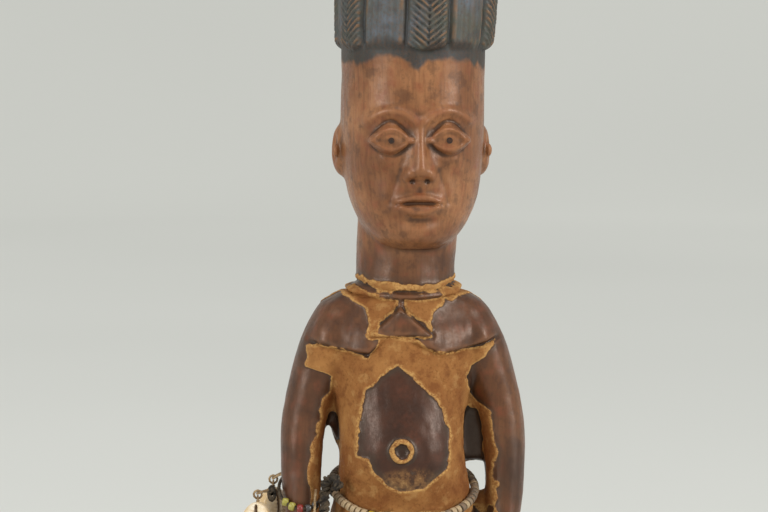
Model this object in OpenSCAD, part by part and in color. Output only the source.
// Carved twin figure with a waist strand, a wrist tie and two strands of cowries.
// Millimetres. The figure faces -Y, stands on z = 0 and has its origin at the middle of the base.

/* [Base] */
// Diameter of the round base
base_d = 68; // [64:1:74]
// Thickness of the round base
base_h = 12; // [10:0.5:13]

/* [Carving] */
// Half width of the head at the temples
head_half_w = 21.5; // [20:0.5:22.5]
// Half depth of the head at the brow
head_half_d = 25; // [23:0.5:27]
// Radius of the neck
neck_r = 15; // [13:0.1:16]
// Radius of the braided ridges of the coiffure
ridge_r = 3.4; // [2.5:0.1:4]
// Number of braided ridges round the coiffure
ridge_count = 6; // [4:1:8]

/* [Strung pieces] */
// Length of a cowrie shell
cowrie_l = 14.5; // [12:0.5:15]
// Width of a cowrie shell
cowrie_w = 9.6; // [8:0.2:10.5]
// Thickness of a cowrie shell
cowrie_t = 6.6; // [5:0.2:7]
// Diameter of the beads on the waist strand
bead_d = 2.7; // [2.4:0.1:3]
// Diameter of the strung cords
cord_d = 1.1; // [0.8:0.1:1.2]
// Diameter of the iron pins in the pupils
pin_d = 1.8; // [1.2:0.1:2.2]

/* [Hidden] */

wood = "saddlebrown";
iron = "dimgray";
shell = "seashell";
fibre = "#3a3026";
string = "tan";

body_sides = 32;
limb_sides = 18;
steps = 2;
cord_sides = 8;

// Sections of the lofts, from the bottom up: [z, middle x, middle y, half width, half depth, squareness]
torso = [
    [56, 0.6, 2, 18, 16, 2.3],
    [62, 0.6, 3, 21.8, 20, 2.3],
    [69, 0.6, 3, 22, 20.5, 2.3],
    [76, 0.6, 1, 20.6, 18.6, 2.2],
    [84, 0.2, -1.5, 19.2, 19.6, 2.2],
    [92, -0.3, -2.6, 18.4, 20.2, 2.2],
    [102, -0.3, -2, 18.9, 18.8, 2.2],
    [112, 0, -1, 21.2, 16.8, 2.3],
    [121, 0, -0.5, 23, 15.6, 2.3],
    [130, 0.3, 0, 22, 14.2, 2.2],
    [137, 0.8, 0.8, 18, 13.6, 2.1],
    [142, 1.2, 1.2, 14.4, 13.8, 2]
];
neck = [
    [134, 1.2, 1.2, neck_r, neck_r, 2],
    [146, 1.4, 1.6, neck_r, neck_r, 2],
    [158, 2, 1.4, neck_r + 0.3, neck_r + 0.3, 2],
    [170, 2.6, 0.4, neck_r, neck_r + 0.4, 2]
];
head_x = 3.1;
head_y = -1;
head = [
    [152.5, head_x, -9, 7, 9, 2],
    [154.5, head_x, -7.5, 11.5, 13.5, 2.1],
    [160, head_x, -5, 16.2, 18.6, 2.2],
    [168, head_x, -3, 19.4, 21.6, 2.3],
    [178, head_x, -1.5, head_half_w - 0.6, head_half_d - 1.4, 2.3],
    [190, head_x, head_y, head_half_w, head_half_d, 2.3],
    [202, head_x + 0.2, head_y, head_half_w, head_half_d, 2.3],
    [214, head_x + 0.4, head_y, head_half_w, head_half_d - 0.4, 2.3]
];
coiffure = [
    [208.5, head_x + 0.3, head_y, head_half_w - 1.2, head_half_d - 1, 2.3],
    [211.5, head_x + 0.4, head_y, head_half_w + 1, head_half_d + 1, 2.3],
    [220, head_x + 0.8, head_y, head_half_w + 1.5, head_half_d + 1.4, 2.3],
    [231, head_x + 1.2, head_y, head_half_w + 1.9, head_half_d + 1, 2.2],
    [242, head_x + 1.4, head_y, head_half_w + 0.2, head_half_d - 1.4, 2.1],
    [252, head_x + 1.6, head_y, head_half_w - 4.6, head_half_d - 6.4, 2],
    [261, head_x + 1.7, head_y, head_half_w - 11, head_half_d - 13.5, 2],
    [268, head_x + 1.7, head_y, 5.4, 5.8, 2],
    [273, head_x + 1.7, head_y, 4.6, 4.8, 2],
    [275.5, head_x + 1.7, head_y, 2.4, 2.4, 2]
];
arm = [
    [139.6, 11, 1, 6, 9, 2],
    [135.5, 16.2, 0.8, 8.4, 10.6, 2],
    [130.5, 19.2, 0.5, 8.9, 11, 2],
    [124, 22.2, 0.2, 9, 10.8, 2],
    [115.5, 25.6, 0, 8.1, 9.6, 2.1],
    [106.5, 28.6, -0.2, 7.2, 8.4, 2.1],
    [98, 30.4, -0.6, 6.6, 7.8, 2.1],
    [88, 31, -1, 6.2, 7.4, 2.1],
    [78, 31, -1.7, 5.7, 7, 2.1],
    [68, 30.2, -2.8, 5, 6.4, 2.1],
    [62, 28, -3.8, 5.2, 7, 2.2],
    [54, 25.4, -4.6, 4.8, 7.8, 2.3],
    [47, 23.8, -5, 3.8, 6.8, 2.3]
];
leg = [
    [10, 12, 4, 7.6, 8.4, 2.1],
    [16, 12, 4, 7.8, 8.6, 2.1],
    [24, 12.2, 5, 9, 10, 2.1],
    [33, 12.2, 4, 9.4, 10.6, 2.1],
    [40, 12, 1.5, 9, 10, 2.1],
    [48, 11.8, 0.5, 10.2, 12.2, 2.1],
    [58, 11.4, 1.5, 11.2, 15.5, 2.2],
    [66, 11, 2.5, 10.6, 16, 2.2]
];

// The arms sit a little towards the left hand. Uncut wood joins them to the body at the armpit; the right gap
// runs up to a point, and the left arm is cut free only in a short gap above the hip.
arms_x = 0.4;
web_in = 18;
web_mid = 22.6;
web_out = 27;
web_y = 2;
web_top = 108;
armpit_z = 100.5;
armpit_r = 5;
right_gap_side = 91;
right_gap_point = 104;
right_web_r = 2.5;
left_gap_top = 86.4;
left_gap_low = 77.4;
left_hip_low = 60;
left_web_r = 3.2;

// Relief on the body: collar, chest ledges, pendant, navel ring
collar_at = [1.3, 1.4, 138.9];
collar_tilt = -4;
collar_rope_r = 1.3;
ledge_in = [8, -10.5, 127];
ledge_out = [15, -8, 128];
ledge_low = [11, -11, 124.5];
ledge_r = 5;
ledge_low_r = 2.6;
pendant_top = [1, -12.6, 137];
pendant_right = [-3.8, -16, 126.6];
pendant_left = [6, -16, 126.6];
pendant_r = 1.2;
navel_at = [-1.9, -22.2, 92.4];
navel_r = 2.9;
navel_rope_r = 0.9;

// Hands: fingers side by side along the thigh
finger_count = 4;
finger_top = [24.4, -9.6, 52];
finger_tip = [22.8, -9.8, 42];
finger_pitch = 3.4;
tip_pitch = 3;
finger_r = 1.9;
tip_r = 1.5;

// Feet: a heel, a ball and an instep, then the toes
heel_at = [12, 8, base_h - 1];
ball_at = [12.6, -12, base_h - 1];
instep_at = [12, -2, base_h + 8];
toe_count = 5;
toe_first = [6.6, -14, base_h + 1.6];
toe_pitch = 3;
toe_l = 7;
toe_r = 1.9;

// Ridges of hair: the front one stands a little off the middle, and each one is let into the coiffure
ridge_first = 273.5;
ridge_low = 212;
ridge_high = 266;
ridge_sunk = 0.6;
ridge_tip_r = 1.2;

// The face: thirds from chin to hairline, eyes one eye width apart
chin_z = 153;
hairline_z = 211.5;
face_third = (hairline_z - chin_z) / 3;
nose_z = chin_z + face_third;
brow_z = chin_z + 2 * face_third;
mouth_z = nose_z - face_third / 3;
eye_w = 2 * head_half_w / 5;
eye_z = brow_z - 7;
eye_r = 5;
eye_flat = 0.62;
eye_in = 1.6;
ear_r = 3.4;

// Iron pins driven into the pupils
pin_l = 5;
pin_head_out = 0.3;
pin_sides = 24;

// Waist strand: it hangs from the small of the back to below the belly, a bead's radius off the wood
waist_back_z = 84.6;
waist_dip = 13;
strand_gap = bead_d / 2 + 0.35;
disc_l = 1.5;
yellow_l = 2;
blue_l = 1.9;
bead_gap = 0.32;
hole_d = cord_d + 0.36;
knot_angle = 190;
knot_half = 2.4;
yellow_count = 2;
blue_count = 8;
front_yellow = 17.5;
front_blue = front_yellow + yellow_count * (yellow_l + bead_gap);
front_discs = front_blue + blue_count * (blue_l + bead_gap);

// Wrist tie: an ellipse round the right forearm that rises towards the back
wrist_x = -30.6;
wrist_y = -1.6;
wrist_half_w = 6.7;
wrist_half_d = 9.2;
wrist_mid_z = 78.6;
wrist_tilt = 0.5;
wrist_bead_d = 2.6;
wrist_bead_l = 1.9;
wrist_pitch = 21;
wrist_first = 220;
outer_knot_top = [-39.7, -3, 79];
outer_knot_low = [-39.3, -1, 76];
outer_knot_r = 1.3;

// The fibre tie between the forearm and the body, and the pale thread beside it
side_tie_r = 1.6;
side_tie_lump = 0.35;
side_tie_path = [
    [-24.6, -11.6, 66], [-24.4, -11.8, 72], [-24.2, -11.8, 77], [-23.9, -12, 81.2],
    [-22.7, -12.8, 83.4], [-21.2, -13.9, 83.2], [-20, -15, 80.6]
];
side_thread_path = [[-27, -11.4, 67], [-27.2, -11.7, 72], [-27.1, -11.8, 77], [-26.8, -11.9, 80]];
side_thread_d = 0.8;

// Strands: where each one hangs from, and the way its shells are turned
rear_top = [-38.3, 11.6, 80.4];
front_top = [-43.8, -3, 77.8];
rear_eye = [
    [-34.8, 7, 82.2], [-36.8, 9, 81.6], [-38.3, 10.7, 80.4],
    [-38.3, 12.5, 80.4], [-37, 13, 81.2], [-34.4, 8.8, 83]
];
front_eye = [
    [-40.8, -4.4, 79], [-42.4, -4.9, 78.6], [-43.8, -3.9, 77.8],
    [-43.8, -2.1, 77.8], [-42.4, -0.9, 78], [-40.8, -0.8, 77.9]
];
loop_r = 1.2;
loop_d = 0.7;
thread_gap = 0.12;
loop_drop = loop_r - loop_d - thread_gap;
swing_drop = loop_drop + loop_r;
first_shell = 2.6;
shell_pitch = cowrie_l + 0.9;
shell_count = 4;
knot_r = 1.7;
strand_l = first_shell + shell_pitch * shell_count + 1;
rear_turns = [35, 205, 20, 190];
front_turns = [-25, 150, -10, 165];

// ---------- functions ----------

function curve(p0, p1, p2, p3, t) =
    0.5 * (2 * p1 + (p2 - p0) * t + (2 * p0 - 5 * p1 + 4 * p2 - p3) * t * t
           + (3 * p1 - p0 - 3 * p2 + p3) * t * t * t);

// A list of points or sections with smooth ones put in between
function smooth(list, n) = [
    for (i = [0 : len(list) - 2])
        for (k = [0 : n - 1])
            curve(list[max(i - 1, 0)], list[i], list[i + 1], list[min(i + 2, len(list) - 1)], k / n),
    list[len(list) - 1]
];

function power(v, e) = sign(v) * pow(abs(v), e);

// The point of a section at an angle, moved out by off
function rim(s, a, off = 0) = [
    s[1] + (s[3] + off) * power(cos(a), 2 / s[5]),
    s[2] + (s[4] + off) * power(sin(a), 2 / s[5]),
    s[0]
];

// The section of a smoothed loft at a height
function section_at(list, z) = [
    z,
    for (k = [1 : 5]) lookup(z, [for (s = list) [s[0], s[k]]])
];

function unit(v) = v / norm(v);

function ring_faces(rings, sides) = [
    for (i = [0 : rings - 2])
        for (j = [0 : sides - 1])
            [i * sides + j, (i + 1) * sides + j, (i + 1) * sides + (j + 1) % sides, i * sides + (j + 1) % sides]
];

// A ring of a tube: round a point, square to the path
function tube_ring(at, along, up, r, sides) =
    let (side = unit(cross(along, up)), over = cross(side, unit(along)))
        [for (j = [0 : sides - 1]) at + r * (cos(360 * j / sides) * side - sin(360 * j / sides) * over)];

head_sections = smooth(head, steps);
function face_y(z) = let (s = section_at(head_sections, z)) s[2] - s[4];
eye_y = face_y(eye_z) + eye_in;
pin_y = eye_y - eye_r * eye_flat;

waist_sections = smooth(torso, steps);
function waist_z(a) = waist_back_z - waist_dip * pow((1 - sin(a)) / 2, 1.5);
function waist_point(a) = rim(section_at(waist_sections, waist_z(a)), a, strand_gap);

// Angles round the waist against the length of strand from the knot
waist_step = 5;
waist_angles = [for (a = [0 : waist_step : 360]) knot_angle + a];
waist_steps = [
    for (i = [1 : len(waist_angles) - 1])
        norm(waist_point(waist_angles[i]) - waist_point(waist_angles[i - 1]))
];
function total(list, n) = n == 0 ? 0 : list[n - 1] + total(list, n - 1);
waist_table = [for (i = [0 : len(waist_angles) - 1]) [total(waist_steps, i), waist_angles[i]]];
waist_length = total(waist_steps, len(waist_steps));

function wrist_point(a) =
    let (y = wrist_half_d * sin(a))
        [wrist_x + wrist_half_w * cos(a), wrist_y + y, wrist_mid_z + wrist_tilt * y];

// ---------- building blocks ----------

module loft(sections, sides, n = steps) {
    rows = smooth(sections, n);
    upright = rows[0][0] < rows[len(rows) - 1][0];
    list = upright ? rows : [for (i = [len(rows) - 1 : -1 : 0]) rows[i]];
    count = len(list);
    polyhedron(
        points = [for (s = list) for (j = [0 : sides - 1]) rim(s, 360 * j / sides)],
        faces = concat(
            [[for (j = [0 : sides - 1]) j]],
            ring_faces(count, sides),
            [[for (j = [sides - 1 : -1 : 0]) (count - 1) * sides + j]]
        )
    );
}

// A round tube along a path; the radius is one number or a list
module tube(path, r, up, sides = cord_sides) {
    count = len(path);
    polyhedron(
        points = [
            for (i = [0 : count - 1])
                let (along = path[min(i + 1, count - 1)] - path[max(i - 1, 0)])
                    each tube_ring(path[i], along, up, is_list(r) ? r[i] : r, sides)
        ],
        faces = concat(
            [[for (j = [0 : sides - 1]) j]],
            ring_faces(count, sides),
            [[for (j = [sides - 1 : -1 : 0]) (count - 1) * sides + j]]
        )
    );
}

// A round tube whose path closes on itself
module ring_tube(path, r, up) {
    count = len(path);
    polyhedron(
        points = [
            for (i = [0 : count - 1])
                let (along = path[(i + 1) % count] - path[(i + count - 1) % count])
                    each tube_ring(path[i], along, up, r, cord_sides)
        ],
        faces = [
            for (i = [0 : count - 1])
                for (j = [0 : cord_sides - 1])
                    [
                        i * cord_sides + j,
                        ((i + 1) % count) * cord_sides + j,
                        ((i + 1) % count) * cord_sides + (j + 1) % cord_sides,
                        i * cord_sides + (j + 1) % cord_sides
                    ]
        ]
    );
}

// Turns a child from +Z to a direction and puts it at a point
module aim(at, along) {
    flat = norm([along[0], along[1]]);
    translate(at)
        rotate([0, atan2(flat, along[2]), atan2(along[1], along[0])])
            children();
}

module bead(d, l) {
    translate([0, 0, -l / 2])
        difference() {
            cylinder(h = l, d = d, $fn = 32);
            translate([0, 0, -1]) cylinder(h = l + 2, d = hole_d, $fn = 32);
        }
}

module both_sides() {
    children();
    mirror([1, 0, 0]) children();
}

// ---------- the carving ----------

// Uncut wood between the body and the arm: its lower edge is at side_z by both and at mid_z between them
module arm_web(side_z, mid_z, top, r) {
    for (x = [web_in, web_out])
        hull()
            for (end = [[x, side_z + r], [web_mid, mid_z + r], [x, top], [web_mid, top]])
                translate([end[0], web_y, end[1]]) sphere(r = r, $fn = 8);
}

module arm_and_hand() {
    loft(arm, limb_sides);
    arm_web(armpit_z, armpit_z, web_top, armpit_r);
    for (k = [0 : finger_count - 1])
        hull() {
            translate(finger_top + [0, finger_pitch * k, 0]) sphere(r = finger_r, $fn = 8);
            translate(finger_tip + [0, tip_pitch * k, abs(k - 1.3)]) sphere(r = tip_r, $fn = 8);
        }
}

module arms() {
    both_sides() arm_and_hand();
    mirror([1, 0, 0]) arm_web(right_gap_side, right_gap_point, web_top, right_web_r);
    arm_web(left_gap_top, left_gap_top, web_top, left_web_r);
    arm_web(left_hip_low, left_hip_low, left_gap_low - left_web_r, left_web_r);
}

module leg_and_foot() {
    loft(leg, limb_sides);
    hull() {
        translate(heel_at) cylinder(h = 7, r = 7, $fn = 24);
        translate(ball_at) cylinder(h = 4.6, r = 7.6, $fn = 24);
        translate(instep_at) sphere(r = 6, $fn = 12);
    }
    for (k = [0 : toe_count - 1])
        translate(toe_first + [toe_pitch * k, 0, 0])
            hull() {
                sphere(r = toe_r, $fn = 8);
                translate([0.4, 0.9 * k - toe_l, -0.2]) sphere(r = toe_r - 0.2, $fn = 8);
            }
}

module ear() {
    translate([head_half_w - 0.6, 2, nose_z + face_third * 0.45])
        scale([1, 1.5, 2.4])
            sphere(r = ear_r, $fn = 16);
}

module face() {
    for (side = [-1, 1])
        translate([head_x + side * eye_w, eye_y, eye_z])
            rotate([90, 0, 0])
                scale([1, 1, eye_flat])
                    sphere(r = eye_r, $fn = 20);
    hull() {
        translate([head_x, face_y(brow_z) + 1.4, brow_z - 1]) sphere(r = 1.8, $fn = 12);
        translate([head_x, face_y(nose_z) - 2, nose_z + 3]) sphere(r = 2.6, $fn = 10);
        for (side = [-1, 1])
            translate([head_x + 3.2 * side, face_y(nose_z) + 1.4, nose_z + 2]) sphere(r = 2.2, $fn = 10);
    }
    for (lip = [-1, 1])
        hull()
            for (side = [-1, 0, 1])
                translate([head_x + 4 * side, face_y(mouth_z) + 0.8 + abs(side) * 1.2, mouth_z + 1.4 * lip])
                    sphere(r = 1.7, $fn = 8);
}

module braided_ridges() {
    rows = smooth(coiffure, 1);
    used = [for (s = rows) if (s[0] >= ridge_low && s[0] <= ridge_high) s];
    for (k = [0 : ridge_count - 1]) {
        a = ridge_first + k * 360 / ridge_count;
        path = [for (s = used) rim(s, a, -ridge_sunk)];
        radii = [for (s = used) min(ridge_r, ridge_tip_r + (s[0] - ridge_low + 1) * 0.9, s[3] * 0.42)];
        tube(path, radii, [cos(a + 90), sin(a + 90), 0], cord_sides);
    }
}

module chest() {
    both_sides()
        hull() {
            translate(ledge_in) sphere(r = ledge_r, $fn = 12);
            translate(ledge_out) sphere(r = ledge_r, $fn = 12);
            translate(ledge_low) sphere(r = ledge_low_r, $fn = 12);
        }
    hull()
        for (corner = [pendant_top, pendant_right, pendant_left])
            translate(corner) sphere(r = pendant_r, $fn = 8);
}

module collar() {
    translate(collar_at)
        rotate([collar_tilt, 0, 0])
            rotate_extrude($fn = 32)
                translate([neck_r - 0.2, 0]) circle(r = collar_rope_r, $fn = 8);
}

module navel() {
    translate(navel_at)
        rotate([90, 0, 0])
            rotate_extrude($fn = 24)
                translate([navel_r, 0]) circle(r = navel_rope_r, $fn = 8);
}

module buttocks() {
    both_sides()
        translate([9.6, 13, 66]) scale([1, 1, 1.05]) sphere(r = 10, $fn = 18);
}

module pin_place(side) {
    translate([head_x + side * eye_w, pin_y, eye_z]) rotate([-90, 0, 0]) children();
}

module carved_figure() {
    color(wood)
        difference() {
            union() {
                cylinder(h = base_h, d = base_d, $fn = 64);
                loft(torso, body_sides);
                loft(neck, body_sides);
                loft(head, body_sides);
                loft(coiffure, body_sides);
                translate([arms_x, 0, 0]) arms();
                both_sides() leg_and_foot();
                translate([head_x, 0, 0]) both_sides() ear();
                buttocks();
                braided_ridges();
                face();
                chest();
                collar();
                navel();
            }
            for (side = [-1, 1])
                pin_place(side)
                    translate([0, 0, -pin_head_out])
                        cylinder(h = pin_l, r = pin_d / 2 / cos(180 / pin_sides), $fn = pin_sides);
        }
}

module pupil_pin(side) {
    color(iron)
        pin_place(side)
            translate([0, 0, -pin_head_out])
                cylinder(h = pin_l, d = pin_d, $fn = pin_sides);
}

// ---------- the waist strand ----------

module waist_beads(from, to, l, tint) {
    color(tint)
        for (s = [from + l / 2 : l + bead_gap : to - l / 2]) {
            a = lookup(s, waist_table);
            aim(waist_point(a), waist_point(a + 1) - waist_point(a - 1)) bead(bead_d, l);
        }
}

module waist_cord() {
    color(string)
        ring_tube([for (a = [0 : 6 : 354]) waist_point(knot_angle + a)], cord_d / 2, [0, 0, 1]);
}

module waist_disc_beads() {
    waist_beads(knot_half + 0.2, front_yellow, disc_l, string);
    waist_beads(front_discs, waist_length - knot_half - 0.2, disc_l, string);
}

module waist_yellow_beads() {
    waist_beads(front_yellow, front_blue, yellow_l, "gold");
}

module waist_blue_beads() {
    waist_beads(front_blue, front_discs, blue_l, "midnightblue");
}

module waist_knot() {
    a = knot_angle;
    color(fibre)
        aim(waist_point(a), waist_point(a + 1) - waist_point(a - 1))
            difference() {
                translate([0, 0, -1.9]) cylinder(h = 3.8, r1 = 1.3, r2 = 1.8, $fn = 24);
                translate([0, 0, -3]) cylinder(h = 6, d = hole_d, $fn = 32);
            }
}

// ---------- the wrist tie ----------

module wrist_cord() {
    color(fibre)
        ring_tube([for (a = [0 : 10 : 350]) wrist_point(a)], cord_d / 2, [0, 0, 1]);
}

module wrist_beads(places, tint) {
    color(tint)
        for (k = places) {
            a = wrist_first + wrist_pitch * k;
            aim(wrist_point(a), wrist_point(a + 1) - wrist_point(a - 1)) bead(wrist_bead_d, wrist_bead_l);
        }
}

module wrist_outer_knot() {
    color(fibre)
        hull() {
            translate(outer_knot_top) sphere(r = outer_knot_r, $fn = 16);
            translate(outer_knot_low) sphere(r = outer_knot_r, $fn = 16);
        }
}

module side_tie() {
    path = smooth(side_tie_path, 3);
    radii = [for (i = [0 : len(path) - 1]) side_tie_r + side_tie_lump * sin(150 * i)];
    color(fibre)
        tube(path, radii, [1, 0.6, 0]);
}

module side_tie_thread() {
    color(string)
        tube(side_thread_path, side_thread_d / 2, [1, 0, 0]);
}

// ---------- the cowrie strands ----------

// Sections of a shell from its narrow end, as parts of its length, half width and half thickness
cowrie_shape = [
    [0, 0, 0, 0.16, 0.2, 2],
    [0.06, 0, 0, 0.36, 0.5, 2],
    [0.22, 0, 0, 0.68, 0.82, 2],
    [0.45, 0, 0, 0.92, 0.98, 2.1],
    [0.66, 0, 0, 1, 1, 2.1],
    [0.85, 0, 0, 0.82, 0.84, 2],
    [0.96, 0, 0, 0.46, 0.52, 2],
    [1, 0, 0, 0.2, 0.26, 2]
];

module cowrie(turn) {
    shape = [
        for (s = cowrie_shape)
            [s[0] * cowrie_l, 0, 0, s[3] * cowrie_w / 2, s[4] * cowrie_t / 2, s[5]]
    ];
    color(shell)
        rotate([0, 0, turn])
            difference() {
                loft(shape, 16, 1);
                translate([0, 0, -1]) cylinder(h = cowrie_l + 2, d = cord_d, $fn = 32);
            }
}

function shell_z(k) = -first_shell - shell_pitch * k - cowrie_l;

// A bight of thread that sticks out of the tie
module strand_eye(path) {
    color(string)
        tube(smooth(path, 3), loop_d / 2, [0, 0, 1]);
}

module strand_cowrie(top, k, turns) {
    translate(top + [0, 0, shell_z(k)]) cowrie(turns[k]);
}

module strand_cord(top) {
    rings = 24;
    from = swing_drop + loop_d / 2 + thread_gap;
    color(string)
        tube([for (i = [0 : rings]) top - [0, 0, from + (strand_l - from) * i / rings]], cord_d / 2, [1, 0, 0]);
}

module strand_knot(top) {
    color(string)
        translate(top - [0, 0, strand_l + knot_r]) sphere(r = knot_r, $fn = 24);
}

// A ring of thread that hangs from the eye, square to the sideways swing
module strand_loop(top) {
    color(string)
        translate(top - [0, 0, loop_drop])
            rotate([90, 0, 0])
                rotate_extrude($fn = 24)
                    translate([loop_r, 0]) circle(d = loop_d, $fn = 16);
}

carved_figure();
pupil_pin(-1);  // pupil_pin_right
pupil_pin(1);  // pupil_pin_left
waist_cord();
waist_disc_beads();
waist_yellow_beads();
waist_blue_beads();
waist_knot();
wrist_cord();
wrist_beads([0, 1], "yellowgreen");  // wrist_yellow_beads
wrist_beads([2], "firebrick");  // wrist_red_bead
wrist_beads([3, 4], "darkslategray");  // wrist_dark_beads
wrist_outer_knot();
side_tie();
side_tie_thread();
strand_eye(rear_eye);  // rear_strand_eye
strand_loop(rear_top);  // rear_strand_loop
strand_cord(rear_top);  // rear_strand_cord
strand_knot(rear_top);  // rear_strand_knot
strand_cowrie(rear_top, 0, rear_turns);  // rear_cowrie_1
strand_cowrie(rear_top, 1, rear_turns);  // rear_cowrie_2
strand_cowrie(rear_top, 2, rear_turns);  // rear_cowrie_3
strand_cowrie(rear_top, 3, rear_turns);  // rear_cowrie_4
strand_eye(front_eye);  // front_strand_eye
strand_loop(front_top);  // front_strand_loop
strand_cord(front_top);  // front_strand_cord
strand_knot(front_top);  // front_strand_knot
strand_cowrie(front_top, 0, front_turns);  // front_cowrie_1
strand_cowrie(front_top, 1, front_turns);  // front_cowrie_2
strand_cowrie(front_top, 2, front_turns);  // front_cowrie_3
strand_cowrie(front_top, 3, front_turns);  // front_cowrie_4
